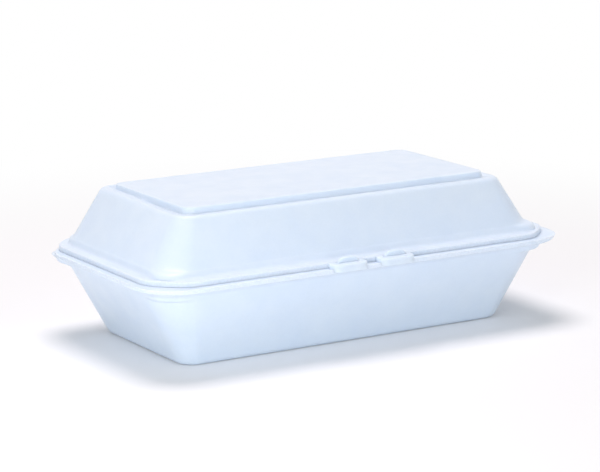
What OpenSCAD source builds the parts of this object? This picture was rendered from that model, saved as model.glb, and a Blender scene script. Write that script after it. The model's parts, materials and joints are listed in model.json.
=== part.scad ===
// Foam clamshell container: a tray and a lid thermoformed from foam sheet,
// folded together along a living hinge at the back and locked by two tongues at the front.
// Modelled closed. X runs along the length, -Y is the front with the locks, +Z is up.

/* [Rim] */
// Length of the container over the rim of the tray
rim_l = 248; // [225:1:300]
// Width over the rim of the tray, from the front edge to the hinge line
rim_w = 133; // [115:1:180]
// Corner radius of the tray's rim
rim_r = 26; // [18:1:40]
// Thickness of the flat rims
rim_t = 2.6; // [2:0.1:4]
// Height of the seam between tray and lid above the table
seam_z = 45.5; // [32:0.5:80]
// Gap between the rims when the container is closed
seam_gap = 0.3; // [0.2:0.05:0.6]
// How far the rims sit forward of the floor and the top, which leaves the back rim narrow
rim_forward = 3; // [0:0.1:4]
// Swelling of the tray's rim at its front corners
rim_swell = 1.8; // [0:0.1:3]
// Trimming of the tray's rim at the hinge corners
rim_trim = 1.5; // [0:0.1:3]
// Trimming of the lid's rim at the hinge corners
lid_trim_back = 0.4; // [0:0.1:3]
// Trimming of the lid's rim at its front corners
lid_trim = 2.2; // [0:0.1:3]
// Rounding of the rims' cut edges, on both sides of the seam
cut_r = 0.4; // [0.2:0.1:0.6]
// Rounding of the rims' other outer edges, under the tray's lip and over the lid's flange
hem_r = 1.2; // [0.8:0.1:1.3]

/* [Foam sheet] */
// Thickness of the foam walls, floor and top
wall_t = 2.4; // [1.5:0.1:3]

/* [Tray] */
// Length of the flat floor outline
floor_l = 191; // [150:1:215]
// Width of the flat floor outline
floor_w = 89; // [65:1:105]
// Corner radius of the floor outline
floor_r = 9; // [7:0.5:16]
// Rounding where the floor meets the walls
floor_fillet = 3.2; // [2:0.1:5]
// Width of the tray's flat lip outside its wall
tray_lip = 6.3; // [4.5:0.1:9]
// Height of the flare under the tray's lip
flare_h = 2.6; // [1.5:0.1:4]

/* [Lid] */
// Height of the raised panel above the seam
lid_h = 33.5; // [22:0.5:60]
// Length over the lid's shoulder
top_l = 193; // [150:1:215]
// Width over the lid's shoulder
top_w = 93; // [65:1:105]
// Corner radius of the lid's shoulder
top_r = 9; // [7:0.5:16]
// How far the lid's walls and top sit back from the middle of the floor
top_back = 1.7; // [0:0.1:2.5]
// Rounding of the shoulder, up to the ridge that runs round the top
shoulder_r = 2.2; // [1.5:0.1:3]
// Distance from the shoulder's outline to the raised panel
panel_inset = 6.4; // [5.5:0.1:9]
// Rise of the panel above the channel round it
panel_rise = 2.4; // [1.5:0.1:3]
// Rise of the ridge above the same channel
ridge_rise = 1.2; // [0.4:0.1:1.4]
// Rounding of the panel's edge
panel_r = 0.8; // [0.5:0.1:1]
// Setback of the lid's rim from the tray's rim at the front and the ends
lid_setback = 4.4; // [3:0.1:5]
// Width of the lid's flange outside its wall
lid_lip = 7.8; // [6:0.1:10]
// Height of the bead along the edge of the lid's flange
bead_h = 0.3; // [0.2:0.1:0.8]
// Width of the bead along the edge of the lid's flange
bead_w = 1.8; // [1.2:0.1:2.2]

/* [Corner lugs] */
// Height of the stacking lugs under the tray's lip
tray_lug_h = 5.6; // [4:0.1:8]
// Projection of the tray's lugs at the front corners
tray_lug_front = 3.6; // [1:0.1:5]
// Projection of the tray's lugs at the hinge corners
tray_lug_back = 7; // [1:0.1:8]
// Height of the lugs above the lid's flange
lid_lug_h = 2.8; // [1.5:0.1:5]
// Projection of the lid's lugs at the front corners
lid_lug_front = 4.2; // [1:0.1:5]
// Projection of the lid's lugs at the hinge corners
lid_lug_back = 1.6; // [0.5:0.1:4]

/* [Locks] */
// Distance between the middles of the two locks
lock_pitch = 28; // [24:1:60]
// Width of each ear on the lid
ear_w = 21; // [16:0.5:24]
// Reach of each ear beyond the edge of the lid's flange
ear_reach = 6.7; // [6.5:0.1:9]
// Rounding of the ear's outer corners
ear_r = 4.5; // [2:0.1:6]
// Depth of the ear's turned-down edge, measured below the seam
ear_drop = 1.7; // [1:0.1:4]
// Thickness of the ear's turned-down edge
ear_edge_t = 1.7; // [1.2:0.1:1.8]
// Easing of the ear's top edge
ear_ease = 0.8; // [0.3:0.1:1]
// Width of each tongue on the tray
tongue_w = 13; // [10:0.5:14]
// Thickness of each tongue
tongue_t = 1.7; // [1.5:0.1:2]
// Height of each tongue above the seam
tongue_h = 5.2; // [4:0.1:7]
// Rounding of the tongue's upper corners
tongue_r = 4.2; // [2:0.1:5]
// Clearance between a tongue and its slot, on every side
slot_clear = 0.4; // [0.3:0.05:0.8]

/* [Hidden] */

// Segments in each quarter of a rounded corner
corner_n = 12;
// Segments in each small rounding of the section
round_n = 3;
$fn = 48;
// Height over which a lug rounds off, and the share of its projection that is left there
lug_ease = 1;
lug_soft = 0.75;
// Rounding at the mouth of the tray and of the lid
mouth_r = 1.5;
// Height of the plain wall above the rounding of the floor and below that of the shoulder
wall_start = 2.4;
// Share of the corners' bulge that the underside of the tray's lip has
low_bulge = 0.2;
// Smallest corner radius that an outline is drawn in to
corner_min = 0.8;

// Half of the gap at the seam: each rim stays this far from the seam plane
half_gap = seam_gap / 2;
// The lid's rim, inside the tray's rim except along the hinge
lid_rim_l = rim_l - 2 * lid_setback;
lid_rim_w = rim_w - 2 * lid_setback;
lid_rim_r = rim_r - lid_setback;
// Height of the closed container
total_h = seam_z + lid_h;
channel_z = total_h - panel_rise;
ridge_z = channel_z + ridge_rise;

// Places across the rims, measured from the middle of the floor
tray_front = -rim_w / 2 - rim_forward;
lid_front = tray_front + lid_setback;
slot_back = lid_front - slot_clear;
tongue_back = slot_back - slot_clear;
tongue_front = tongue_back - tongue_t;
slot_front = tongue_front - slot_clear;
ear_front = lid_front - ear_reach;
hinge_y = rim_w / 2 - rim_forward;
rim_back = hinge_y - seam_gap;

// The origin is below the middle of the whole container, ears included
centre_y = -(ear_front + rim_back) / 2;

// Share of the way from the inner to the outer outline at which each rim starts
tray_foot = 1 - 2 * tray_lip / (rim_l - floor_l);
lid_foot = 1 - 2 * lid_lip / (lid_rim_l - top_l);

// How far the rims' corners bulge out, at the front and at the hinge
tray_bulge = [rim_swell, -rim_trim];
lid_bulge = [-lid_trim, -lid_trim_back];

function mix(a, b, t) = a + (b - a) * t;

// Share of the rim's width that has been crossed, from a rim's foot to its edge
function rim_share(f, foot) = max(0, (f - foot) / (1 - foot));

// Level thickness of a wall that leans over by run while it rises by rise
function leaning_t(run, rise) = wall_t * sqrt(1 + pow(run / rise, 2));

// Rise and fall over a quarter corner: 0 at its ends and 1 at its middle
function corner_wave(t) = pow(sin(180 * t), 2);

// One closed outline: half length, front and back half widths, corner radius, height,
// and how far its front and back corners bulge
function outline(hl, front, back, r, z, bulge = [0, 0]) = [
    for (q = [0:3])
        let (sx = (q == 0 || q == 3) ? 1 : -1)
        let (sy = q < 2 ? 1 : -1)
        let (hw = sy > 0 ? back : front)
        let (swell = sy > 0 ? bulge[1] : bulge[0])
        for (i = [0:corner_n])
            let (a = 90 * (q + i / corner_n))
            let (rr = r + swell * corner_wave(i / corner_n))
            [sx * (hl - r) + rr * cos(a), sy * (hw - r) + rr * sin(a), z]
];

// Tray outline a share f of the way from the floor to the rim, drawn in by inset
function tray_ring(f, inset, z, bulge = [0, 0]) =
    let (hw = mix(floor_w, rim_w, f) / 2 - inset)
    let (forward = rim_forward * rim_share(f, tray_foot))
    outline(
        mix(floor_l, rim_l, f) / 2 - inset,
        hw + forward,
        hw - forward - seam_gap * f,
        max(corner_min, mix(floor_r, rim_r, f) - inset),
        z, bulge);

// Lid outline a share f of the way from the shoulder to the rim, drawn in by inset; hem
// takes its back edge out to the hinge
function lid_ring(f, inset, z, bulge = [0, 0], hem = 0) =
    let (hw = mix(top_w, lid_rim_w, f) / 2 - inset)
    let (forward = mix(-top_back, rim_forward, rim_share(f, lid_foot)))
    outline(
        mix(top_l, lid_rim_l, f) / 2 - inset,
        hw + forward,
        hw - forward + hem * (lid_setback - seam_gap),
        max(corner_min, mix(top_r, lid_rim_r, f) - inset),
        z, bulge);

// Skin over a stack of outlines, closed flat across the first and the last
module loft(rings) {
    n = len(rings[0]);
    last = len(rings) - 1;
    points = [for (ring = rings) for (p = ring) p];
    sides = [
        for (k = [0:last - 1])
            for (i = [0:n - 1])
                let (j = (i + 1) % n)
                each [
                    [k * n + i, (k + 1) * n + j, k * n + j],
                    [k * n + i, (k + 1) * n + i, (k + 1) * n + j]
                ]
    ];
    first_cap = [for (i = [0:n - 1]) i];
    last_cap = [for (i = [n - 1:-1:0]) last * n + i];
    polyhedron(points = points, faces = concat([first_cap], sides, [last_cap]), convexity = 8);
}

// Outer and inner skins of the tray, from the middle of the floor round to its inside
function tray_wall(z) = tray_foot * z / (seam_z - rim_t);

function tray_rings() =
    let (top = seam_z - half_gap)
    let (under = seam_z - rim_t)
    let (lug_low = under - tray_lug_h)
    let (lugs = [tray_lug_front, tray_lug_back])
    let (inner_t = leaning_t(tray_foot * (rim_w - floor_w) / 2, under))
    let (inner_r = floor_fillet + wall_t)
    let (wall_low = inner_r + wall_start)
    concat(
        // rounding from the floor to the outer wall
        [for (i = [0:round_n])
            let (a = 90 * i / round_n)
            let (z = floor_fillet * (1 - cos(a)))
            tray_ring(tray_wall(z), floor_fillet * (1 - sin(a)), z)],
        // outer wall, swelling into the corner lugs, then the flare under the lip
        [
            tray_ring(tray_wall(lug_low - lug_ease), 0, lug_low - lug_ease),
            tray_ring(tray_wall(lug_low), 0, lug_low, lugs * lug_soft),
            tray_ring(tray_wall(lug_low + lug_ease), 0, lug_low + lug_ease, lugs),
            tray_ring(tray_wall(under - flare_h), 0, under - flare_h, lugs),
            tray_ring(mix(tray_foot, 1, 1 / 8), 0, under - flare_h / 3, lugs),
            tray_ring(mix(tray_foot, 1, 1 / 2), 0, under, lugs / 3)
        ],
        // outer edge of the lip, rounded under and cut sharper at the seam
        [for (i = [0:round_n])
            let (a = 90 * i / round_n)
            tray_ring(1, hem_r * (1 - sin(a)), under + hem_r * (1 - cos(a)), tray_bulge * low_bulge)],
        [for (i = [0:round_n])
            let (a = 90 * i / round_n)
            tray_ring(1, cut_r * (1 - cos(a)), top - cut_r * (1 - sin(a)), tray_bulge)],
        // inside edge of the lip and inner wall
        [
            tray_ring(tray_foot, inner_t - mouth_r, top),
            tray_ring(tray_foot, inner_t - mouth_r / 3, top - mouth_r / 3),
            tray_ring(tray_foot, inner_t, top - mouth_r),
            tray_ring(tray_wall(wall_low), inner_t, wall_low)
        ],
        // rounding from the inner wall to the floor
        [for (i = [1:round_n])
            let (a = 90 * i / round_n)
            let (z = wall_t + inner_r * (1 - sin(a)))
            tray_ring(tray_wall(z), inner_t + inner_r * (1 - cos(a)), z)]
    );

// Share of the way from shoulder to rim that the lid's wall has reached at a height
function lid_wall(z) =
    lid_foot * (ridge_z - z) / (ridge_z - seam_z - rim_t - lid_lug_h);

function lid_rings() =
    let (under = seam_z + half_gap)
    let (top = seam_z + rim_t)
    let (lug_top = top + lid_lug_h)
    let (bead_top = top + bead_h)
    let (lugs = [lid_lug_front, lid_lug_back])
    let (inner_t = leaning_t(lid_foot * (lid_rim_w - top_w) / 2, ridge_z - lug_top))
    let (ceiling = total_h - wall_t)
    let (ledge = channel_z - wall_t)
    let (wall_high = ledge - wall_start)
    concat(
        // inside, from the middle of the panel down to the rim
        [
            lid_ring(0, panel_inset + wall_t + panel_r, ceiling),
            lid_ring(0, panel_inset + wall_t, ceiling - panel_r),
            lid_ring(0, panel_inset + wall_t / 2, ledge),
            lid_ring(0, shoulder_r + wall_t, ledge),
            lid_ring(lid_wall(ledge - panel_r), inner_t + panel_r, ledge - panel_r),
            lid_ring(lid_wall(wall_high), inner_t, wall_high),
            lid_ring(lid_foot, inner_t, top),
            lid_ring(lid_foot, inner_t - mouth_r / 3, under + mouth_r / 3),
            lid_ring(lid_foot, inner_t - mouth_r, under)
        ],
        // outer edge of the flange, cut sharper at the seam and rounded over into the bead
        [for (i = [0:round_n])
            let (a = 90 * i / round_n)
            lid_ring(1, cut_r * (1 - sin(a)), under + cut_r * (1 - cos(a)), lid_bulge, 1)],
        [for (i = [0:round_n])
            let (a = 90 * i / round_n)
            lid_ring(1, hem_r * (1 - cos(a)), bead_top - hem_r * (1 - sin(a)), lid_bulge, 1)],
        // down from the bead, over the flange and up the corner lugs
        [
            lid_ring(1, hem_r + bead_w / 2, top + bead_h / 2, lid_bulge, 1),
            lid_ring(1, hem_r + bead_w, top, lid_bulge, 1),
            lid_ring(mix(lid_foot, 1, 1 / 8), 0, top, lugs),
            lid_ring(mix(lid_foot, 1, 1 / 16), 0, mix(top, lug_top, 1 / 4), lugs),
            lid_ring(lid_foot, 0, mix(top, lug_top, 2 / 3), lugs),
            lid_ring(lid_foot, 0, lug_top, lugs * lug_soft),
            lid_ring(lid_wall(lug_top + lug_ease), 0, lug_top + lug_ease)
        ],
        // shoulder up to the ridge, then the channel and the step up to the panel
        [for (i = [0:round_n])
            let (a = 90 * i / round_n)
            let (z = ridge_z - shoulder_r * (1 - sin(a)))
            lid_ring(lid_wall(z), shoulder_r * (1 - cos(a)), z)],
        [
            lid_ring(0, mix(shoulder_r, panel_inset, 1 / 3), mix(channel_z, ridge_z, 2 / 3)),
            lid_ring(0, mix(shoulder_r, panel_inset, 3 / 5), mix(channel_z, ridge_z, 1 / 8)),
            lid_ring(0, mix(shoulder_r, panel_inset, 5 / 6), channel_z)
        ],
        [for (i = [0:round_n])
            let (a = 90 * i / round_n)
            let (z = total_h - panel_r * (1 - sin(a)))
            lid_ring(0, panel_inset + panel_r * (1 - cos(a)), z)]
    );

// Arched outline of one tongue, standing on the seam
module tongue_shape() {
    half = tongue_w / 2;
    translate([-half, -rim_t / 2]) square([tongue_w, rim_t / 2 + tongue_h - tongue_r]);
    translate([tongue_r - half, 0]) square([tongue_w - 2 * tongue_r, tongue_h]);
    for (side = [-1, 1])
        translate([side * (half - tongue_r), tongue_h - tongue_r]) circle(tongue_r);
}

module tongue() {
    translate([0, tongue_back, seam_z]) rotate([90, 0, 0]) linear_extrude(tongue_t) tongue_shape();
}

// Plan of one ear, with its root hidden in the flange
module ear_plan(inset) {
    half = ear_w / 2 - inset;
    front = ear_front + inset;
    r = ear_r - inset;
    root = lid_front + rim_t / 2;
    translate([-half, front + r]) square([2 * half, root - front - r]);
    translate([r - half, front]) square([2 * (half - r), root - front]);
    for (side = [-1, 1])
        translate([side * (half - r), front + r]) circle(r);
}

// One ear: a plate with an eased top, a turned-down edge and a slot for the tongue
module ear() {
    slot_w = tongue_w + 2 * slot_clear;
    plate_z = seam_z + half_gap;
    body_t = rim_t - half_gap - ear_ease;
    difference() {
        union() {
            hull() {
                translate([0, 0, plate_z]) linear_extrude(body_t) ear_plan(0);
                translate([0, 0, plate_z]) linear_extrude(rim_t - half_gap) ear_plan(ear_ease);
            }
            translate([0, 0, seam_z - ear_drop])
                linear_extrude(ear_drop + half_gap + body_t / 2)
                    difference() {
                        ear_plan(0);
                        ear_plan(ear_edge_t);
                        translate([-ear_w, tray_front - slot_clear]) square([2 * ear_w, rim_w]);
                    }
        }
        translate([-slot_w / 2, slot_front, plate_z - 1])
            cube([slot_w, slot_back - slot_front, rim_t + 2]);
    }
}

module locks() {
    for (side = [-1, 1])
        translate([side * lock_pitch / 2, 0, 0]) children();
}

module tray() {
    color("aliceblue") translate([0, centre_y, 0]) union() {
        loft(tray_rings());
        locks() tongue();
    }
}

module lid() {
    color("white") translate([0, centre_y, 0]) union() {
        loft(lid_rings());
        locks() ear();
    }
}

tray();
lid();
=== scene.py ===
"""Foam clamshell container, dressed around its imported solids.

The tray and the lid are drawn again as smooth moulded skins, with the locks at the
front and the fold of the sheet at the back. Metres, +Z up, -Y is the front.
"""
import json
import math

import bmesh
import bpy
import numpy as np
from bpy.props import FloatProperty, IntProperty, PointerProperty, StringProperty
from mathutils import Matrix, Vector


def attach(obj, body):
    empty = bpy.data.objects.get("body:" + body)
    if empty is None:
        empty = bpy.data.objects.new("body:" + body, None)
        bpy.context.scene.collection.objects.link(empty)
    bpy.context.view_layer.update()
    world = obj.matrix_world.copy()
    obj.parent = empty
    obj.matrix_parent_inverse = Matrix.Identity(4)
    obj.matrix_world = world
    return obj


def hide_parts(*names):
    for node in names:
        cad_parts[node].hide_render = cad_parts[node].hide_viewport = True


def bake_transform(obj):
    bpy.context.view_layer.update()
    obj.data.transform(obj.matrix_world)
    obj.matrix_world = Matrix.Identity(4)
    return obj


bl_info = {
    "name": "Foam clamshell container",
    "version": (1, 0, 0),
    "blender": (4, 5, 0),
    "location": "3D View > Sidebar > Clamshell",
    "description": "Builds a foam food container with a hinged lid, and its studio",
    "category": "Add Mesh",
}

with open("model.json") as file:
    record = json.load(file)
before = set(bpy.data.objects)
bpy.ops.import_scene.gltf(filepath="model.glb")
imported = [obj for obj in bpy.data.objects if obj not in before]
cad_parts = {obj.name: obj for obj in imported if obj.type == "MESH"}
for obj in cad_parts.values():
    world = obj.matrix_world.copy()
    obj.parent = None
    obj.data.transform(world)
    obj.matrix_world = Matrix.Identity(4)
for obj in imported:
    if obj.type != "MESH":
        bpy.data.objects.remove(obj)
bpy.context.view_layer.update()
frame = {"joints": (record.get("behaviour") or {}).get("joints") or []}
HINGE = frame["joints"][0]["pos_m"]

MM = 0.001
CORNER_MIN = 0.8 * MM
WELD = 0.004 * MM
WHITE = "#FFFFFF"

# Places along an outline's end run from -1 at the front to 1 at the back. Heights start
# to change to those of the back at SLOPE_START, and have changed SLOPE_LENGTH later.
SLOPE_START = -0.2
SLOPE_LENGTH = 0.3


def length(name, description, mm):
    """A length property whose default is given in millimetres."""
    return FloatProperty(
        name=name,
        description=description,
        default=mm * MM,
        unit="LENGTH",
        subtype="DISTANCE",
        precision=5,
    )


def angle(name, description, radians):
    """An angle property."""
    return FloatProperty(name=name, description=description, default=radians, subtype="ANGLE")


def power(name, description, watts):
    """A property for the power of a lamp."""
    return FloatProperty(name=name, description=description, default=watts, unit="POWER")


def paint(name, description, code):
    """A colour property, written as sRGB hex."""
    return StringProperty(name=name, description=description + ", sRGB hex", default=code)


class ShellSizes(bpy.types.PropertyGroup):
    """Sizes that the tray and the lid share, and their own."""

    rim_l: length("Rim length", "Length over the rim of the tray", 248)
    rim_w: length("Rim width", "From the front edge of the rim to the hinge line", 133)
    rim_r: length("Rim corner", "Corner radius of the tray's rim", 26)
    rim_t: length("Rim thickness", "Thickness of the flat rims", 2.6)
    seam_z: length("Seam height", "Height of the seam above the table", 45.5)
    seam_gap: length("Seam gap", "Gap between the closed rims", 0.3)
    seam_shut: length("Seam shut", "How much of the gap the soft rims close", 0.28)
    rim_forward: length("Rim forward", "How far the rims sit forward of the floor", 3)
    rim_swell: length("Rim swell", "Swelling of the tray's rim at its front corners", 1.8)
    rim_trim: length("Rim trim", "Trimming of the tray's rim at the hinge corners", 1.5)
    lid_trim_back: length("Lid trim, back", "Trimming of the lid's rim at the hinge corners", 0.4)
    lid_trim: length("Lid trim", "Trimming of the lid's rim at its front corners", 2.2)
    cut_r: length("Cut edge rounding", "Rounding of the rims' cut edges at the seam", 0.15)
    hem_r: length("Hem rounding", "Rounding of the rims' other outer edges", 1.2)
    wall_t: length("Foam thickness", "Thickness of walls, floor and top", 2.4)
    floor_l: length("Floor length", "Length of the flat floor outline", 191)
    floor_w: length("Floor width", "Width of the flat floor outline", 89)
    floor_r: length("Floor corner", "Corner radius of the floor outline", 9)
    floor_fillet: length("Floor rounding", "Rounding where floor meets walls", 3.2)
    tray_lip: length("Tray lip", "Width of the tray's lip outside its wall", 6.3)
    flare_h: length("Flare height", "Height of the flare under the tray's lip", 2.6)
    lid_h: length("Lid height", "Height of the raised panel above the seam", 33.5)
    top_l: length("Shoulder length", "Length over the lid's shoulder", 193)
    top_w: length("Shoulder width", "Width over the lid's shoulder", 93)
    top_r: length("Shoulder corner", "Corner radius of the lid's shoulder", 9)
    top_back: length("Top set back", "How far the lid's top sits back", 1.7)
    shoulder_r: length("Shoulder rounding", "Rounding of the shoulder", 2.2)
    panel_inset: length("Panel inset", "From the shoulder's outline to the panel", 6.4)
    panel_rise: length("Panel rise", "Rise of the panel above its channel", 2.9)
    ridge_rise: length("Ridge rise", "Rise of the ridge above the channel", 0.6)
    front_sag: length("Front sag", "How much lower the channel and ridge are at the front", 0.8)
    panel_corner: length("Panel corner", "Smallest corner radius of the panel", 5.5)
    panel_r: length("Panel rounding", "Rounding of the panel's edge", 0.5)
    panel_crown: length("Panel crown", "How far the panel swells in its middle", 0.25)
    lid_setback: length("Lid set back", "Setback of the lid's rim from the tray's", 4.4)
    lid_lip: length("Lid flange", "Width of the lid's flange outside its wall", 7.8)
    bead_h: length("Bead height", "Height of the bead along the flange", 0.3)
    bead_w: length("Bead width", "Width of the bead along the flange", 1.8)
    tray_lug_h: length("Tray lug height", "Height of the lugs under the lip", 5.6)
    tray_lug_front: length("Tray lug, front", "Projection at the front corners", 3.6)
    tray_lug_back: length("Tray lug, back", "Projection at the hinge corners", 7)
    lid_lug_h: length("Lid lug height", "Height of the lugs above the flange", 2.8)
    lid_lug_front: length("Lid lug, front", "Projection at the front corners", 4.2)
    lid_lug_back: length("Lid lug, back", "Projection at the hinge corners", 1.6)
    wobble: length("Wobble", "How far the skin strays from true", 0.3)
    wobble_span: length("Wobble span", "Distance from one such swell to the next", 55)
    wobble_fade: length("Wobble fade", "Distance from table, seam and top over which it grows", 8)
    corner_steps: IntProperty(
        name="Corner steps", description="Faces round each corner", default=22, min=4
    )
    long_steps: IntProperty(
        name="Long side steps", description="Faces along a long side", default=36, min=2
    )
    short_steps: IntProperty(
        name="Short side steps", description="Faces along an end", default=16, min=2
    )


class LockSizes(bpy.types.PropertyGroup):
    """Sizes of the two tongue-and-slot locks and of the fold at the hinge."""

    pitch: length("Lock spacing", "Between the middles of the two locks", 28)
    ear_w: length("Ear width", "Width of each ear on the lid", 21)
    ear_reach: length("Ear reach", "Reach of an ear beyond the lid's flange", 6.7)
    ear_r: length("Ear corner", "Rounding of an ear's outer corners", 4.5)
    ear_drop: length("Ear drop", "Depth of the turned-down edge below the seam", 1.7)
    ear_edge_t: length("Ear edge", "Thickness of the turned-down edge", 1.7)
    ear_ease: length("Ear easing", "Easing of an ear's top edge", 0.8)
    tongue_w: length("Tongue width", "Width of each tongue on the tray", 13)
    tongue_t: length("Tongue thickness", "Thickness of each tongue", 1.7)
    tongue_h: length("Tongue height", "Height of each tongue above the seam", 5.2)
    tongue_r: length("Tongue corner", "Rounding of a tongue's upper corners", 4.2)
    slot_clear: length("Slot clearance", "Between a tongue and its slot", 0.4)
    fold_t: length("Fold thickness", "Thickness of the pressed fold", 0.5)
    fold_out: length("Fold reach", "How far the fold stands off the rims' back edges", 0.6)


class FoamFinish(bpy.types.PropertyGroup):
    """Colours and grain of the foam."""

    skin: paint("Skin", "Colour of the smooth skin", "#DBE8F8")
    cloud: paint("Cloud", "Colour of the denser patches", "#D7E5F6")
    cut: paint("Cut edge", "Colour of the die-cut edges", "#DCE7F6")
    cell: length("Cell", "Size of the foam's cells, drawn coarse enough to show", 1.1)
    patch: length("Patch", "Size of the cloudy patches in the skin", 14)
    roughness: FloatProperty(
        name="Roughness", description="Roughness of the skin", default=0.36, min=0, max=1
    )


class StageSettings(bpy.types.PropertyGroup):
    """Floor, light and the photograph's camera."""

    floor: paint("Floor", "Colour of the floor", "#F8F9FA")
    azimuth: angle("Azimuth", "Camera's turn to the left of the front", 0.54187)
    elevation: angle("Elevation", "Camera's height above the horizon", 0.21195)
    roll: angle("Roll", "Camera's roll", -0.00917)
    distance: length("Distance", "From the camera to the object", 1320.42)
    aim_x: length("Aim across", "How far right of the view's middle the floor is", 1.75)
    aim_y: length("Aim up", "How far above the view's middle the floor is", -46.32)
    lens: FloatProperty(
        name="Lens", description="Focal length in mm on a 36 mm sensor", default=149.67
    )
    key: power("Key", "Power of the key lamp", 0.7)
    fill: power("Fill", "Power of the fill lamp", 1.25)
    top: power("Top", "Power of the top lamp", 8.9)
    ambient: FloatProperty(name="Ambient", description="Light from all round", default=0.44)
    shade_near: length("Shade near", "How far out the floor starts to turn whiter", 160)
    shade_far: length("Shade far", "How far out the floor has turned white", 520)


def mix(a, b, t):
    """What lies at the share t of the way from a to b."""
    return a + (b - a) * t


def linear(hex_colour):
    """sRGB hex to linear RGBA."""
    parts = [int(hex_colour[i : i + 2], 16) / 255 for i in (1, 3, 5)]
    return [c / 12.92 if c <= 0.04045 else ((c + 0.055) / 1.055) ** 2.4 for c in parts] + [1.0]


def add(tree, kind, inputs=None, **settings):
    """Adds one node with its settings. An input is the socket it is linked to, or a value."""
    node = tree.nodes.new(kind)
    for key, value in settings.items():
        setattr(node, key, value)
    for key, value in (inputs or {}).items():
        if isinstance(value, bpy.types.NodeSocket):
            tree.links.new(value, node.inputs[key])
        else:
            node.inputs[key].default_value = value
    return node


def foam_material(name, colour, cloud, finish, skin):
    """Expanded polystyrene foam sheet, closed cells, pressed under a hot mould.

    The mould leaves a smooth, slightly glossy skin with cloudy patches where the
    cells lie nearer the surface. Light enters it a little way, so that it has no hard
    shade. The die-cut edges have no skin: they are dull, with open cells.
    """
    mat = bpy.data.materials.new(name)
    mat.use_nodes = True
    tree = mat.node_tree
    tree.nodes.clear()
    if skin:
        roughness = (finish.roughness - 0.05, finish.roughness + 0.08)
        pit_shade, cell_relief, fine_relief = 0.985, 0.10, 0.12
    else:
        roughness = (0.75, 0.9)
        pit_shade, cell_relief, fine_relief = 0.93, 0.5, 0.4
    place = add(tree, "ShaderNodeTexCoord").outputs["Object"]
    patches = add(
        tree,
        "ShaderNodeTexNoise",
        {"Vector": place, "Scale": 1 / finish.patch, "Detail": 4.0, "Roughness": 0.55},
    )
    cells = add(
        tree,
        "ShaderNodeTexVoronoi",
        {"Vector": place, "Scale": 1 / finish.cell, "Smoothness": 0.6},
        feature="SMOOTH_F1",
    )
    # The grain between the cells is a third of their size.
    grain = add(
        tree, "ShaderNodeTexNoise", {"Vector": place, "Scale": 3 / finish.cell, "Detail": 2.0}
    )
    tint = add(
        tree,
        "ShaderNodeMapRange",
        {"Value": patches.outputs["Fac"], "From Min": 0.35, "From Max": 0.7},
    )
    clouds = add(
        tree,
        "ShaderNodeMix",
        {"Factor": tint.outputs["Result"], "A": linear(colour), "B": linear(cloud)},
        data_type="RGBA",
    )
    pits = add(
        tree,
        "ShaderNodeMapRange",
        {
            "Value": cells.outputs["Distance"],
            "From Max": 0.8,
            "To Min": 1.0,
            "To Max": pit_shade,
        },
    )
    shade = add(
        tree,
        "ShaderNodeVectorMath",
        {0: clouds.outputs["Result"], "Scale": pits.outputs["Result"]},
        operation="SCALE",
    )
    gloss = add(
        tree,
        "ShaderNodeMapRange",
        {
            "Value": patches.outputs["Fac"],
            "From Min": 0.3,
            "From Max": 0.7,
            "To Min": roughness[0],
            "To Max": roughness[1],
        },
    )
    cell_bump = add(
        tree,
        "ShaderNodeBump",
        {"Height": cells.outputs["Distance"], "Strength": cell_relief, "Distance": 0.15 * MM},
    )
    grain_bump = add(
        tree,
        "ShaderNodeBump",
        {
            "Height": grain.outputs["Fac"],
            "Normal": cell_bump.outputs["Normal"],
            "Strength": fine_relief,
            "Distance": 0.05 * MM,
        },
    )
    shader = add(
        tree,
        "ShaderNodeBsdfPrincipled",
        {
            "Base Color": shade.outputs["Vector"],
            "Roughness": gloss.outputs["Result"],
            "Normal": grain_bump.outputs["Normal"],
            "IOR": 1.5,
            "Subsurface Weight": 0.6,
            "Subsurface Radius": (1.0, 1.0, 1.0),
            "Subsurface Scale": 2.5 * MM,
        },
    )
    add(tree, "ShaderNodeOutputMaterial", {"Surface": shader.outputs["BSDF"]})
    return mat


def materials():
    """The two foam materials, made once."""
    finish = bpy.context.scene.clamshell_finish
    found = bpy.data.materials.get("foam_skin")
    if found:
        return found, bpy.data.materials["foam_cut_edge"]
    return (
        foam_material("foam_skin", finish.skin, finish.cloud, finish, True),
        foam_material("foam_cut_edge", finish.cut, finish.skin, finish, False),
    )


class Ring:
    """One outline of a skin: half length, reach to the front and to the back, corner
    radius, height, bulge of the front and back corners, height at the back, how far the
    section is rounded where it turns at this outline, and 1 where it is a cut edge."""

    def __init__(
        self, half, front, back, corner, z, bulge=(0, 0), z_back=None, soft=0, cut=0
    ):
        self.values = np.array(
            [half, front, back, corner, z, bulge[0], bulge[1], z if z_back is None else z_back]
        )
        self.soft = soft
        self.cut = cut

    def moved(self, values):
        """The same outline at other values, with nothing left to round."""
        ring = Ring(0, 0, 0, 0, 0, cut=self.cut)
        ring.values = values
        return ring


def soften(rings, steps=6, support=0.25 * MM):
    """Rounds the section at each outline, with a narrow face on both sides of a bend."""
    out = [rings[0]]
    for before, ring, after in zip(rings, rings[1:], rings[2:]):
        if not ring.soft:
            out.append(ring)
            continue
        sides = []
        for other in (before, after):
            step = other.values - ring.values
            span = max(abs(step[:3]).max(), abs(step[4:7]).max(), 1e-9)
            share = min(ring.soft / span, 0.47)
            edge = min(share + support / span, 0.49)
            sides.append((ring.values + step * share, ring.values + step * edge))
        (start, lead), (end, tail) = sides
        out.append(ring.moved(lead))
        for i in range(steps + 1):
            t = i / steps
            out.append(
                ring.moved(
                    start * (1 - t) ** 2 + ring.values * 2 * t * (1 - t) + end * t**2
                )
            )
        out.append(ring.moved(tail))
    return out + [rings[-1]]


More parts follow.
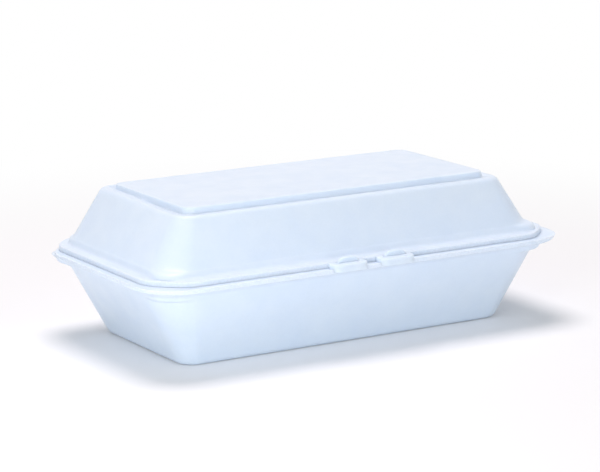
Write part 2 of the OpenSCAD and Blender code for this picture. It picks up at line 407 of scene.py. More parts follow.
def cap(ring, crown=0.0, steps=10):
    """Outlines that draw in from ring to a line along the middle, so a skin closes."""
    half, front, back, corner, z = ring.values[:5]
    middle = (back - front) / 2
    width = (back + front) / 2
    out = []
    for i in range(1, steps + 1):
        t = i / steps
        left = 1 - t
        out.append(
            Ring(
                half - width * t,
                width * left - middle,
                width * left + middle,
                corner * left,
                z + crown * (1 - left**2),
            )
        )
    return out


def outline_template(corner_steps, long_steps, short_steps):
    """Points round an outline: their place between the corners, the way they face, and
    how far they share a corner's bulge."""
    points = []
    for quarter in range(4):
        sx = 1 if quarter in (0, 3) else -1
        sy = 1 if quarter < 2 else -1
        for i in range(corner_steps + 1):
            t = i / corner_steps
            a = math.radians(90 * (quarter + t))
            points.append((sx, sy, math.cos(a), math.sin(a), math.sin(math.pi * t) ** 2))
        along_x = quarter % 2 == 0
        steps = long_steps if along_x else short_steps
        a = math.radians(90 * (quarter + 1))
        for i in range(1, steps):
            t = 1 - 2 * i / steps
            u, v = (sx * t, sy) if along_x else (sx, sy * t)
            points.append((u, v, round(math.cos(a)), round(math.sin(a)), 0.0))
    points.append(points[0])
    return points


def attribute_mesh(name, columns):
    """A loose-point mesh that carries vector attributes for the skin's node tree."""
    count = len(next(iter(columns.values())))
    mesh = bpy.data.meshes.new(name)
    mesh.from_pydata([(0, 0, 0)] * count, [], [])
    for key, rows in columns.items():
        attribute = mesh.attributes.new(key, "FLOAT_VECTOR", "POINT")
        attribute.data.foreach_set("vector", np.array(rows, np.float32).ravel())
    obj = bpy.data.objects.new(name, mesh)
    bpy.context.scene.collection.objects.link(obj)
    return obj


def skin_tree():
    """Node tree that sweeps a stack of outlines into one closed skin.

    The base mesh carries the outlines: span (half length, front, back), form (corner,
    height, height at the back), bulge (front corners, back corners, cut edge) and loose
    (share of the wobble). The Outline object carries the points round one outline:
    place (across, along, share of the bulge) and facing (x, y, share of the back's
    height)."""
    found = bpy.data.node_groups.get("Moulded skin")
    if found:
        return found
    tree = bpy.data.node_groups.new("Moulded skin", "GeometryNodeTree")
    for name, kind in (
        ("Geometry", "Geometry"),
        ("Outline", "Object"),
        ("Skin", "Material"),
        ("Cut edge", "Material"),
        ("Wobble", "Float"),
        ("Wobble span", "Float"),
        ("Weld", "Float"),
    ):
        tree.interface.new_socket(name, in_out="INPUT", socket_type="NodeSocket" + kind)
    tree.interface.new_socket("Geometry", in_out="OUTPUT", socket_type="NodeSocketGeometry")
    source = add(tree, "NodeGroupInput").outputs
    rings = source["Geometry"]
    around = add(
        tree, "GeometryNodeObjectInfo", {"Object": source["Outline"]}
    ).outputs["Geometry"]
    ring_count, around_count = (
        add(tree, "GeometryNodeAttributeDomainSize", {"Geometry": points}).outputs[0]
        for points in (rings, around)
    )
    grid = add(
        tree,
        "GeometryNodeMeshGrid",
        {"Vertices X": ring_count, "Vertices Y": around_count},
    ).outputs["Mesh"]
    index = add(tree, "GeometryNodeInputIndex").outputs["Index"]

    # The grid's points are counted round one outline after the other.
    midway = add(tree, "ShaderNodeMath", {0: index, 1: 0.5}, operation="ADD").outputs[0]
    rounds = add(
        tree, "ShaderNodeMath", {0: midway, 1: around_count}, operation="DIVIDE"
    ).outputs[0]
    ring_index = add(tree, "ShaderNodeMath", {0: rounds}, operation="FLOOR").outputs[0]
    passed = add(
        tree, "ShaderNodeMath", {0: ring_index, 1: around_count}, operation="MULTIPLY"
    ).outputs[0]
    around_index = add(
        tree, "ShaderNodeMath", {0: index, 1: passed}, operation="SUBTRACT"
    ).outputs[0]

    known = {"wobble": source["Wobble"], "wobble_span": source["Wobble span"]}
    for geometry, at, name, parts in (
        (rings, ring_index, "span", ("half", "front", "back")),
        (rings, ring_index, "form", ("corner", "height", "height_back")),
        (rings, ring_index, "bulge", ("bulge_front", "bulge_back", "cut")),
        (rings, ring_index, "loose", ("loose",)),
        (around, around_index, "place", ("across", "along", "wave")),
        (around, around_index, "facing", ("face_x", "face_y", "back_share")),
    ):
        stored = add(
            tree, "GeometryNodeInputNamedAttribute", {"Name": name}, data_type="FLOAT_VECTOR"
        )
        value = add(
            tree,
            "GeometryNodeSampleIndex",
            {"Geometry": geometry, "Value": stored.outputs["Attribute"], "Index": at},
            data_type="FLOAT_VECTOR",
            domain="POINT",
        )
        split = add(tree, "ShaderNodeSeparateXYZ", {"Vector": value.outputs["Value"]})
        known.update(zip(parts, split.outputs))

    # The sums that give each point's place: result, operation and what goes in.
    for name, operation, *terms in (
        ("from_front", "ADD", "along", 1.0),
        ("to_back", "MULTIPLY", "from_front", 0.5),
        ("bulge_change", "SUBTRACT", "bulge_back", "bulge_front"),
        ("bulge_here", "MULTIPLY", "bulge_change", "to_back"),
        ("bulge", "ADD", "bulge_front", "bulge_here"),
        ("swell", "MULTIPLY", "wave", "bulge"),
        ("radius", "ADD", "corner", "swell"),
        ("straight", "SUBTRACT", "half", "corner"),
        ("centre_x", "MULTIPLY", "across", "straight"),
        ("turn_x", "MULTIPLY", "radius", "face_x"),
        ("x", "ADD", "centre_x", "turn_x"),
        ("front_y", "SUBTRACT", "corner", "front"),
        ("back_y", "SUBTRACT", "back", "corner"),
        ("depth", "SUBTRACT", "back_y", "front_y"),
        ("depth_here", "MULTIPLY", "depth", "to_back"),
        ("centre_y", "ADD", "front_y", "depth_here"),
        ("turn_y", "MULTIPLY", "radius", "face_y"),
        ("y", "ADD", "centre_y", "turn_y"),
        ("rise", "SUBTRACT", "height_back", "height"),
        ("rise_here", "MULTIPLY", "rise", "back_share"),
        ("z", "ADD", "height", "rise_here"),
        ("swells", "DIVIDE", 1.0, "wobble_span"),
        ("sway", "MULTIPLY", "wobble", "loose"),
        ("edges", "GREATER_THAN", "cut", 0.5),
    ):
        inputs = {i: known.get(term, term) for i, term in enumerate(terms)}
        known[name] = add(tree, "ShaderNodeMath", inputs, operation=operation).outputs[0]

    place = add(
        tree, "ShaderNodeCombineXYZ", {"X": known["x"], "Y": known["y"], "Z": known["z"]}
    ).outputs[0]
    noise = add(
        tree, "ShaderNodeTexNoise", {"Vector": place, "Scale": known["swells"], "Detail": 1.0}
    ).outputs["Color"]
    stray = add(
        tree, "ShaderNodeVectorMath", {0: noise, 1: (0.5, 0.5, 0.5)}, operation="SUBTRACT"
    ).outputs["Vector"]
    stray = add(
        tree, "ShaderNodeVectorMath", {0: stray, "Scale": known["sway"]}, operation="SCALE"
    ).outputs["Vector"]
    moved = add(
        tree,
        "GeometryNodeSetPosition",
        {"Geometry": grid, "Position": place, "Offset": stray},
    ).outputs[0]
    stored = add(
        tree,
        "GeometryNodeStoreNamedAttribute",
        {"Geometry": moved, "Name": "cut_edge", "Value": known["edges"]},
        data_type="FLOAT",
        domain="POINT",
    ).outputs[0]
    welded = add(
        tree,
        "GeometryNodeMergeByDistance",
        {"Geometry": stored, "Distance": source["Weld"]},
    ).outputs[0]
    smooth = add(tree, "GeometryNodeSetShadeSmooth", {"Geometry": welded}).outputs[0]
    real = add(tree, "GeometryNodeRealizeInstances", {"Geometry": smooth}).outputs[0]
    painted = add(
        tree, "GeometryNodeSetMaterial", {"Geometry": real, "Material": source["Skin"]}
    ).outputs[0]
    # A face is a cut edge only where all its corners are.
    is_cut = add(
        tree, "GeometryNodeInputNamedAttribute", {"Name": "cut_edge"}, data_type="FLOAT"
    ).outputs["Attribute"]
    chosen = add(
        tree, "ShaderNodeMath", {0: is_cut, 1: 0.9}, operation="GREATER_THAN"
    ).outputs[0]
    painted = add(
        tree,
        "GeometryNodeSetMaterial",
        {"Geometry": painted, "Selection": chosen, "Material": source["Cut edge"]},
    ).outputs[0]
    add(tree, "NodeGroupOutput", {"Geometry": painted})
    return tree


def set_input(modifier, name, value):
    """Sets a node modifier's input by the identifier of its socket."""
    for item in modifier.node_group.interface.items_tree:
        if item.item_type == "SOCKET" and item.in_out == "INPUT" and item.name == name:
            modifier[item.identifier] = value
            return
    raise RuntimeError("the tree has no input named " + name)


def skin_piece(name, rings, template, shift, wobble):
    """Runs the skin tree over rings and returns the result as a plain mesh object."""
    sizes = bpy.context.scene.clamshell_sizes
    # The skin stays true on the table, at the seam and at the top.
    calm = (0, sizes.seam_z, sizes.seam_z + sizes.lid_h)
    base = attribute_mesh(
        name + "_rings",
        {
            "span": [r.values[[0, 1, 2]] for r in rings],
            "form": [r.values[[3, 4, 7]] for r in rings],
            "bulge": [(r.values[5], r.values[6], r.cut) for r in rings],
            "loose": [
                (min(1, min(abs(r.values[4] - z) for z in calm) / sizes.wobble_fade), 0, 0)
                for r in rings
            ],
        },
    )
    around = attribute_mesh(
        name + "_outline",
        {
            "place": [(u, v, w) for u, v, _, _, w in template],
            "facing": [(c, s, back_share(v)) for _, v, c, s, _ in template],
        },
    )
    skin, cut = materials()
    modifier = base.modifiers.new("Skin", "NODES")
    modifier.node_group = skin_tree()
    set_input(modifier, "Outline", around)
    set_input(modifier, "Skin", skin)
    set_input(modifier, "Cut edge", cut)
    set_input(modifier, "Wobble", wobble)
    set_input(modifier, "Wobble span", sizes.wobble_span)
    set_input(modifier, "Weld", WELD)
    graph = bpy.context.evaluated_depsgraph_get()
    mesh = bpy.data.meshes.new_from_object(base.evaluated_get(graph))
    mesh.name = name
    for helper in (base, around):
        data = helper.data
        bpy.data.objects.remove(helper)
        bpy.data.meshes.remove(data)
    return finished(name, mesh, shift)


def back_share(v):
    """Share of the back's height at a place along an outline's end."""
    return min(1.0, max(0.0, (v - SLOPE_START) / SLOPE_LENGTH))


def finished(name, mesh, shift=(0, 0, 0)):
    """Moves a mesh into place, turns its faces outwards and links it as an object."""
    mesh.transform(Matrix.Translation(shift))
    work = bmesh.new()
    work.from_mesh(mesh)
    bmesh.ops.recalc_face_normals(work, faces=work.faces)
    if work.calc_volume(signed=True) < 0:
        bmesh.ops.reverse_faces(work, faces=work.faces)
    open_edges = [e for e in work.edges if not e.is_manifold]
    if open_edges:
        raise RuntimeError(f"{name} has {len(open_edges)} open edges")
    work.to_mesh(mesh)
    work.free()
    mesh.update()
    obj = bpy.data.objects.new(name, mesh)
    bpy.context.scene.collection.objects.link(obj)
    return obj


def rides(obj, body, *nodes):
    """The piece moves with a body, and the CAD nodes it stands for are hidden."""
    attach(obj, body)
    if nodes:
        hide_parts(*nodes)


class Case:
    """The rule for the outlines of one half, from its inner outline to its rim."""

    def __init__(self, inner, outer, foot, slide, hem):
        self.inner = inner
        self.outer = outer
        self.foot = foot
        self.slide = slide
        self.hem = hem

    def ring(
        self, share, inset, z, bulge=(0, 0), hem=0, z_back=None, soft=0.0, cut=0, least=CORNER_MIN
    ):
        """The outline at a share of the way out, drawn in by inset, at height z."""
        half, width, corner = (mix(a, b, share) for a, b in zip(self.inner, self.outer))
        crossed = max(0.0, (share - self.foot) / (1 - self.foot))
        slide = mix(self.slide[0], self.slide[1], crossed)
        return Ring(
            half / 2 - inset,
            width / 2 - inset + slide,
            width / 2 - inset - slide + self.hem(share, hem),
            max(corner - inset, least),
            z,
            bulge,
            z_back,
            soft=soft,
            cut=cut,
        )


def leaning(wall_t, run, rise):
    """Level thickness of a wall that leans over by run while it rises by rise."""
    return wall_t * math.hypot(1, run / rise)


def floor_middle(s, locks):
    """Where the middle of the floor is along Y: the origin is below the whole box."""
    front = s.rim_w / 2 + s.rim_forward - s.lid_setback + locks.ear_reach
    back = s.rim_w / 2 - s.rim_forward - s.seam_gap
    return (front - back) / 2


def tray_rings(s, fold_out):
    """The tray's outlines: its underside, up outside, over the lip and down inside."""
    top = s.seam_z - (s.seam_gap - s.seam_shut) / 2
    under = s.seam_z - s.rim_t
    foot = 1 - 2 * s.tray_lip / (s.rim_l - s.floor_l)
    case = Case(
        (s.floor_l, s.floor_w, s.floor_r),
        (s.rim_l, s.rim_w, s.rim_r),
        foot,
        (0, s.rim_forward),
        lambda share, hem: -(s.seam_gap + fold_out) * share,
    )
    lugs = np.array([s.tray_lug_front, s.tray_lug_back])
    swell = np.array([s.rim_swell, -s.rim_trim])
    inner_t = leaning(s.wall_t, foot * (s.rim_w - s.floor_w) / 2, under)
    low_swell = swell * 0.2
    lug_start = under - s.tray_lug_h - 0.4 * MM
    lug_full = under - s.tray_lug_h + 0.8 * MM
    flare = under - s.flare_h

    def wall(z):
        return foot * z / under

    bottom = case.ring(0, s.floor_fillet * 1.6, 0)
    inside = case.ring(wall(s.wall_t), inner_t + s.floor_fillet * 3, s.wall_t)
    rings = [
        bottom,
        case.ring(0, 0, 0, soft=s.floor_fillet),
        case.ring(wall(lug_start), 0, lug_start, soft=1.2 * MM),
        case.ring(wall(lug_full), 0, lug_full, lugs, soft=1.0 * MM),
        case.ring(wall(flare), 0, flare, lugs, soft=0.8 * MM),
        case.ring(mix(foot, 1, 0.125), 0, under - s.flare_h / 3, lugs, soft=0.6 * MM),
        case.ring(mix(foot, 1, 0.5), 0, under, lugs / 3, soft=1.0 * MM),
        case.ring(1, 0, under, low_swell, soft=s.hem_r, cut=1),
        case.ring(1, 0, top, swell, soft=s.cut_r, cut=1),
        case.ring(foot, inner_t, top, soft=1.5 * MM),
        case.ring(wall(s.wall_t), inner_t, s.wall_t, soft=s.floor_fillet + s.wall_t),
        inside,
    ]
    rings = soften(rings)
    return cap(bottom)[::-1] + rings + cap(inside)


def lid_rings(s, fold_out):
    """The lid's outlines: its ceiling, down inside, round the flange and up to the panel."""
    under = s.seam_z + (s.seam_gap - s.seam_shut) / 2
    top = s.seam_z + s.rim_t
    rim = (
        s.rim_l - 2 * s.lid_setback,
        s.rim_w - 2 * s.lid_setback,
        s.rim_r - s.lid_setback,
    )
    foot = 1 - 2 * s.lid_lip / (rim[0] - s.top_l)
    case = Case(
        (s.top_l, s.top_w, s.top_r),
        rim,
        foot,
        (-s.top_back, s.rim_forward),
        lambda share, hem: hem * (s.lid_setback - s.seam_gap - fold_out),
    )
    lugs = np.array([s.lid_lug_front, s.lid_lug_back])
    trim = (-s.lid_trim, -s.lid_trim_back)
    total = s.seam_z + s.lid_h
    channel = total - s.panel_rise
    ridge = channel + s.ridge_rise
    sunk, low_ridge = channel - s.front_sag, ridge - s.front_sag
    lug_top = top + s.lid_lug_h
    wall_low = lug_top + 0.8 * MM
    ledge = channel - s.wall_t
    inner_t = leaning(s.wall_t, foot * (rim[1] - s.top_w) / 2, ridge - lug_top)

    def wall(z):
        return foot * (ridge - z) / (ridge - lug_top)

    def across(t):
        return mix(s.shoulder_r, s.panel_inset, t)

    step_foot = across(1) + 0.4 * MM
    panel_z = total - s.panel_crown
    ceiling = case.ring(0, s.panel_inset + s.wall_t * 2, panel_z - s.wall_t)
    least = s.panel_corner
    panel = case.ring(0, s.panel_inset + s.panel_r * 2.5, panel_z, least=least)
    rings = [
        ceiling,
        case.ring(0, s.panel_inset + s.wall_t, panel_z - s.wall_t, soft=0.9 * MM),
        case.ring(0, s.panel_inset + s.wall_t * 0.8, ledge, soft=0.9 * MM),
        case.ring(wall(ledge), inner_t, ledge, soft=1.8 * MM),
        case.ring(foot, inner_t, under, soft=1.3 * MM),
        case.ring(1, 0, under, trim, 1, soft=s.cut_r, cut=1),
        case.ring(1, 0, top + s.bead_h, trim, 1, soft=s.hem_r, cut=1),
        case.ring(1, s.hem_r + s.bead_w, top, trim, 1, soft=1.2 * MM),
        case.ring(mix(foot, 1, 0.2), 0, top, lugs, soft=2.6 * MM),
        case.ring(mix(foot, 1, 0.04), 0, lug_top, lugs, soft=2.0 * MM),
        case.ring(wall(wall_low), 0, wall_low, soft=2.4 * MM),
        case.ring(0, 0, low_ridge, z_back=ridge, soft=s.shoulder_r),
        case.ring(0, across(0.3), low_ridge, z_back=ridge, soft=0.9 * MM),
        case.ring(0, across(0.65), sunk, z_back=channel, soft=0.7 * MM, least=least),
        case.ring(0, across(0.95), sunk, z_back=channel, soft=1.2 * MM, least=least),
        case.ring(0, step_foot, panel_z, soft=s.panel_r, least=least),
        panel,
    ]
    rings = soften(rings)
    return cap(ceiling, s.panel_crown)[::-1] + rings + cap(panel, s.panel_crown)


def half_skin(context, name, rule):
    """Builds the skin of one half from the rule for its outlines."""
    s = context.scene.clamshell_sizes
    locks = context.scene.clamshell_locks
    shift = (0, floor_middle(s, locks), 0)
    template = outline_template(s.corner_steps, s.long_steps, s.short_steps)
    return skin_piece(name, rule(s, locks.fold_out), template, shift, s.wobble)


class TraySkin(bpy.types.Operator):
    """Builds the tray: floor, sloped walls, corner lugs and flat lip"""

    bl_idname = "clamshell.tray"
    bl_label = "Tray"

    def execute(self, context):
        tray = half_skin(context, "tray_skin", tray_rings)
        rides(tray, "tray", "tray")
        return {"FINISHED"}


class LidSkin(bpy.types.Operator):
    """Builds the lid: flange with its bead, corner lugs, walls, ridge and raised panel"""

    bl_idname = "clamshell.lid"
    bl_label = "Lid"

    def execute(self, context):
        lid = half_skin(context, "lid_skin", lid_rings)
        rides(lid, "lid", "lid")
        return {"FINISHED"}


def arch(width, height, corner, steps=10):
    """Points of an upright plate with rounded upper corners, foot at zero."""
    half = width / 2
    points = [(half, 0.0)]
    for sign, start in ((1, 0), (-1, 90)):
        for i in range(steps + 1):
            a = math.radians(start + 90 * i / steps)
            x = sign * (half - corner) + corner * math.cos(a)
            points.append((x, height - corner + corner * math.sin(a)))
    return points + [(-half, 0.0)]


def bevelled(obj, width):
    """Applies a bevel to the sharp edges and smooth shading."""
    modifier = obj.modifiers.new("Soft edges", "BEVEL")
    modifier.width = width
    modifier.segments = 3
    modifier.limit_method = "ANGLE"
    modifier.angle_limit = math.radians(40)
    modifier.harden_normals = False
    graph = bpy.context.evaluated_depsgraph_get()
    mesh = bpy.data.meshes.new_from_object(obj.evaluated_get(graph))
    old = obj.data
    obj.modifiers.clear()
    obj.data = mesh
    mesh.name = old.name + "_soft"
    bpy.data.meshes.remove(old)
    for polygon in mesh.polygons:
        polygon.use_smooth = True
    return obj


def lock_places(s, locks):
    """Distances along Y of the lock's parts, from the middle of the floor."""
    lid_front = -s.rim_w / 2 - s.rim_forward + s.lid_setback
    slot_back = lid_front - locks.slot_clear
    tongue_back = slot_back - locks.slot_clear
    tongue_front = tongue_back - locks.tongue_t
    return lid_front, slot_back, tongue_back, tongue_front, tongue_front - locks.slot_clear


class Tongues(bpy.types.Operator):
    """Builds the two upright tongues on the front of the tray's lip"""

    bl_idname = "clamshell.tongues"
    bl_label = "Tongues"

    def execute(self, context):
        s = context.scene.clamshell_sizes
        locks = context.scene.clamshell_locks
        middle = floor_middle(s, locks)
        _, _, back, front, _ = lock_places(s, locks)
        sunk = s.rim_t / 2
        outline = arch(locks.tongue_w, locks.tongue_h + sunk, locks.tongue_r)
        work = bmesh.new()
        for side in (-1, 1):
            x = side * locks.pitch / 2
            rows = [
                [
                    work.verts.new((x + px, y + middle, s.seam_z - sunk + pz))
                    for px, pz in outline
                ]
                for y in (front, back)
            ]
            work.faces.new(rows[0])
            work.faces.new(rows[1][::-1])
            count = len(outline)
            for i in range(count):
                j = (i + 1) % count
                work.faces.new((rows[0][i], rows[1][i], rows[1][j], rows[0][j]))
        mesh = bpy.data.meshes.new("tray_tongues")
        work.to_mesh(mesh)
        work.free()
        mesh.materials.append(materials()[0])
        edge_r = 0.55 * MM
        tongues = bevelled(finished("tray_tongues", mesh), edge_r)
        rides(tongues, "tray")
        return {"FINISHED"}


class Ears(bpy.types.Operator):
    """Builds the two ears on the front of the lid, with their slots"""

    bl_idname = "clamshell.ears"
    bl_label = "Ears"

    def execute(self, context):
        s = context.scene.clamshell_sizes
        locks = context.scene.clamshell_locks
        middle = floor_middle(s, locks)
        lid_front, slot_back, _, _, slot_front = lock_places(s, locks)
        low = s.seam_z + s.seam_gap / 2
        high = s.seam_z + s.rim_t
        drop = s.seam_z - locks.ear_drop
        centre = (slot_back + slot_front) / 2
        root = 5.0 * MM
        front = centre - (lid_front - locks.ear_reach)
        back = lid_front + root - centre
        half = locks.ear_w / 2
        t = locks.ear_edge_t
        slot_half_w = locks.tongue_w / 2 + locks.slot_clear
        slot_half_t = (slot_back - slot_front) / 2
        slot_corner = 0.5 * MM

        def outer(inset, z, z_back, soft):
            corner = locks.ear_r - inset
            return Ring(
                half - inset, front - inset, back, corner, z, z_back=z_back, soft=soft
            )

        def hole(z, soft):
            return Ring(slot_half_w, slot_half_t, slot_half_t, slot_corner, z, soft=soft)

        rings = [
            hole((low + high) / 2, 0),
            hole(high, 0.5 * MM),
            outer(0, high - locks.ear_ease / 2, high, 1.2 * MM),
            outer(0, drop, low, 0.8 * MM),
            outer(t, drop, low, 0.8 * MM),
            outer(t + 0.1 * MM, low, low, 0.5 * MM),
            hole(low, 0.4 * MM),
            hole((low + high) / 2, 0),
        ]
        rings = soften(rings, steps=5)
        template = outline_template(corner_steps=8, long_steps=10, short_steps=14)
        for index, side in enumerate((-1, 1)):
            shift = (side * locks.pitch / 2, middle + centre, 0)
            ear = skin_piece(f"lid_ear_{index + 1}", rings, template, shift, wobble=0.0)
            rides(ear, "lid")
        return {"FINISHED"}


class HingeFold(bpy.types.Operator):
    """Builds the fold of the sheet along the back"""

    bl_idname = "clamshell.fold"
    bl_label = "Hinge fold"

    def execute(self, context):
        s = context.scene.clamshell_sizes
        locks = context.scene.clamshell_locks
        hinge = Vector(HINGE)
        # The fold's section, as places along Y and Z from the hinge line: the lower half
        # of its outer and of its inner side, then each with its mirror image above.
        reach = -s.seam_gap
        rim_edge = reach - locks.fold_out
        edge_z = s.rim_t * 0.55
        outer = [
            (rim_edge - 0.35 * MM, -edge_z - 0.7 * MM),
            (rim_edge + 0.05 * MM, -edge_z),
            (mix(rim_edge, reach, 0.8), -edge_z * 0.5),
            (reach, 0.0),
        ]
        t = locks.fold_t
        inner = [
            (rim_edge - 0.75 * MM, -edge_z + 0.1 * MM),
            (rim_edge - 0.35 * MM, -edge_z * 0.5),
            (reach - t - 0.1 * MM, -edge_z * 0.22),
            (reach - t, 0.0),
        ]
        outer, inner = (
            smooth_line(side + [(y, -z) for y, z in side[-2::-1]], steps=5)
            for side in (outer, inner)
        )
        section = outer + inner[::-1]
        half = s.rim_l / 2 - s.rim_r + 1.5 * MM
        # Towards each end the section thins down, round a quarter of an ellipse.
        taper, end_steps, end_share, flat_share = 6 * MM, 6, 0.15, 0.7
        ends = [math.radians(90 / end_steps * i) for i in range(end_steps)]
        xs = [-half + taper * (1 - math.cos(a)) for a in ends]
        xs += list(np.linspace(-half + taper, half - taper, 49))
        xs += [-x for x in xs[end_steps - 1 :: -1]]
        work = bmesh.new()
        rows = []
        middle_y = (outer[0][0] + outer[-1][0]) / 2 - 0.3 * MM
        for x in xs:
            near = min(1.0, (half - abs(x)) / taper)
            thin = math.sqrt(max(0.0, 1 - (1 - near) ** 2))
            grow = thin * (1 - end_share) + end_share
            row = []
            for y, z in section:
                across = hinge.y + middle_y + (y - middle_y) * grow
                up = hinge.z + z * mix(flat_share, 1, grow)
                row.append(work.verts.new((x, across, up)))
            rows.append(row)
        count = len(section)
        for a, b in zip(rows, rows[1:]):
            for i in range(count):
                j = (i + 1) % count
                work.faces.new((a[i], a[j], b[j], b[i]))
        work.faces.new(rows[0])
        work.faces.new(rows[-1][::-1])
        mesh = bpy.data.meshes.new("hinge_fold")
        work.to_mesh(mesh)
        work.free()
        mesh.materials.append(materials()[0])
        fold = finished("hinge_fold", mesh)
        for polygon in fold.data.polygons:
            polygon.use_smooth = True
        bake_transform(fold)
        return {"FINISHED"}


def smooth_line(points, steps):
    """Points along a smooth curve through the given ones."""
    pts = np.array(points)
    padded = np.vstack([2 * pts[0] - pts[1], pts, 2 * pts[-1] - pts[-2]])
    out = []
    for i in range(1, len(padded) - 2):
        p0, p1, p2, p3 = padded[i - 1 : i + 3]
        for k in range(steps):
            t = k / steps
            out.append(
                0.5
                * (
                    2 * p1
                    + (p2 - p0) * t
                    + (2 * p0 - 5 * p1 + 4 * p2 - p3) * t**2
                    + (3 * p1 - p0 - 3 * p2 + p3) * t**3
                )
            )
    return [tuple(p) for p in out] + [tuple(pts[-1])]


def area_lamp(name, place, aim, size, power, colour=WHITE):
    """A round soft lamp at place that shines towards aim."""
    data = bpy.data.lights.new(name, "AREA")
    data.shape = "DISK"
    data.size = size
    data.energy = power
    data.color = linear(colour)[:3]
    lamp = bpy.data.objects.new(name, data)
    bpy.context.scene.collection.objects.link(lamp)
    lamp.location = place
    lamp.rotation_mode = "QUATERNION"
    lamp.rotation_quaternion = (Vector(place) - Vector(aim)).to_track_quat("Z", "Y")


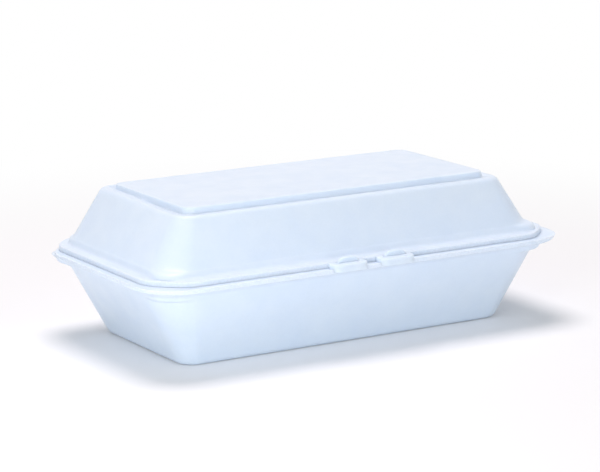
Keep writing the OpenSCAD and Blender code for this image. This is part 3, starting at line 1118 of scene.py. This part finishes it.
class Stage(bpy.types.Operator):
    """Builds the floor, the soft studio light and the photograph's camera"""

    bl_idname = "clamshell.stage"
    bl_label = "Stage"

    def execute(self, context):
        stage = context.scene.clamshell_stage
        self.floor(stage)
        self.world(context, stage)
        area_lamp(
            "lamp_key",
            place=(-0.4, -0.3, 0.1),
            aim=(-0.09, -0.03, 0.03),
            size=0.2,
            power=stage.key,
        )
        area_lamp(
            "lamp_fill", place=(0.1, -0.9, 0.16), aim=(0, 0, 0.03), size=0.3, power=stage.fill
        )
        area_lamp(
            "lamp_top",
            place=(0, 0.2, 1.2),
            aim=(0, 0, 0.04),
            size=0.7,
            power=stage.top,
            colour="#FFF6F8",
        )
        self.camera(context, stage)
        context.scene.view_settings.view_transform = "Standard"
        return {"FINISHED"}

    def floor(self, stage):
        """A sweep of matt, uncoated paper, which has next to no gloss."""
        mesh = bpy.data.meshes.new("floor")
        reach = 8.0
        mesh.from_pydata(
            [(-reach, -reach, 0), (reach, -reach, 0), (reach, reach, 0), (-reach, reach, 0)],
            [],
            [(0, 1, 2, 3)],
        )
        obj = bpy.data.objects.new("floor", mesh)
        bpy.context.scene.collection.objects.link(obj)
        mat = bpy.data.materials.new("pale_paper")
        mat.use_nodes = True
        tree = mat.node_tree
        tree.nodes.clear()
        paper = add(
            tree,
            "ShaderNodeBsdfPrincipled",
            {"Base Color": linear(stage.floor), "Roughness": 0.9, "Specular IOR Level": 0.2},
        )
        # Past the shadow, the camera sees the paper as the white of the studio.
        white = add(tree, "ShaderNodeEmission", {"Color": linear(WHITE), "Strength": 1.0})
        place = add(tree, "ShaderNodeTexCoord").outputs["Object"]
        away = add(tree, "ShaderNodeVectorMath", {0: place}, operation="LENGTH")
        far = add(
            tree,
            "ShaderNodeMapRange",
            {
                "Value": away.outputs["Value"],
                "From Min": stage.shade_near,
                "From Max": stage.shade_far,
            },
            interpolation_type="SMOOTHSTEP",
        )
        camera_ray = add(tree, "ShaderNodeLightPath").outputs["Is Camera Ray"]
        seen = add(
            tree,
            "ShaderNodeMath",
            {0: far.outputs["Result"], 1: camera_ray},
            operation="MULTIPLY",
        )
        both = add(
            tree,
            "ShaderNodeMixShader",
            {0: seen.outputs[0], 1: paper.outputs["BSDF"], 2: white.outputs[0]},
        )
        add(tree, "ShaderNodeOutputMaterial", {"Surface": both.outputs[0]})
        mesh.materials.append(mat)

    def world(self, context, stage):
        """Even light from all round, and white where the surroundings are seen."""
        world = bpy.data.worlds.new("studio")
        context.scene.world = world
        world.use_nodes = True
        tree = world.node_tree
        tree.nodes.clear()
        path = add(tree, "ShaderNodeLightPath").outputs
        seen = add(
            tree,
            "ShaderNodeMath",
            {0: path["Is Camera Ray"], 1: path["Is Glossy Ray"]},
            operation="MAXIMUM",
        )
        seen = add(
            tree,
            "ShaderNodeMath",
            {0: seen.outputs[0], 1: path["Is Transmission Ray"]},
            operation="MAXIMUM",
        )
        light = add(
            tree, "ShaderNodeBackground", {"Color": linear(WHITE), "Strength": stage.ambient}
        )
        white = add(tree, "ShaderNodeBackground", {"Color": linear(WHITE), "Strength": 1.0})
        both = add(
            tree,
            "ShaderNodeMixShader",
            {0: seen.outputs[0], 1: light.outputs[0], 2: white.outputs[0]},
        )
        add(tree, "ShaderNodeOutputWorld", {"Surface": both.outputs[0]})

    def camera(self, context, stage):
        """The camera that took the photograph, fitted to the container's outline."""
        s = context.scene.clamshell_sizes
        a, e, roll = stage.azimuth, stage.elevation, stage.roll
        back = Vector((-math.sin(a) * math.cos(e), -math.cos(a) * math.cos(e), math.sin(e)))
        flat = Vector((math.cos(a), -math.sin(a), 0))
        steep = back.cross(flat)
        right = flat * math.cos(roll) + steep * math.sin(roll)
        up = steep * math.cos(roll) - flat * math.sin(roll)
        target = Vector((0, floor_middle(s, context.scene.clamshell_locks), 0))
        data = bpy.data.cameras.new("camera")
        data.lens = stage.lens
        data.sensor_width = 36  # millimetres
        data.clip_start = 0.01
        data.clip_end = 50
        camera = bpy.data.objects.new("camera", data)
        context.scene.collection.objects.link(camera)
        place = target + back * stage.distance - right * stage.aim_x - up * stage.aim_y
        turn = Matrix((right, up, back)).transposed().to_4x4()
        camera.matrix_world = Matrix.Translation(place) @ turn
        context.scene.camera = camera


class ClamshellPanel(bpy.types.Panel):
    """Lists the pieces of the container and their sizes"""

    bl_idname = "VIEW3D_PT_clamshell"
    bl_label = "Foam clamshell"
    bl_space_type = "VIEW_3D"
    bl_region_type = "UI"
    bl_category = "Clamshell"

    def draw(self, context):
        layout = self.layout
        for operator in PIECES:
            layout.operator(operator.bl_idname)
        for group in (
            context.scene.clamshell_sizes,
            context.scene.clamshell_locks,
            context.scene.clamshell_finish,
            context.scene.clamshell_stage,
        ):
            box = layout.box()
            for name in group.bl_rna.properties.keys():
                if name not in ("rna_type", "name"):
                    box.prop(group, name)


PIECES = (TraySkin, LidSkin, Tongues, Ears, HingeFold, Stage)
GROUPS = {
    "clamshell_sizes": ShellSizes,
    "clamshell_locks": LockSizes,
    "clamshell_finish": FoamFinish,
    "clamshell_stage": StageSettings,
}


def register():
    """Registers the classes and gives the scene its settings."""
    for cls in (*GROUPS.values(), *PIECES, ClamshellPanel):
        bpy.utils.register_class(cls)
    for name, group in GROUPS.items():
        setattr(bpy.types.Scene, name, PointerProperty(type=group))


def unregister():
    """Takes back what register did."""
    for name in GROUPS:
        delattr(bpy.types.Scene, name)
    for cls in (ClamshellPanel, *PIECES[::-1], *reversed(GROUPS.values())):
        bpy.utils.unregister_class(cls)


def main():
    """Builds every piece and the stage."""
    register()
    bpy.ops.clamshell.tray()
    bpy.ops.clamshell.lid()
    bpy.ops.clamshell.tongues()
    bpy.ops.clamshell.ears()
    bpy.ops.clamshell.fold()
    bpy.ops.clamshell.stage()


if __name__ == "__main__":
    main()
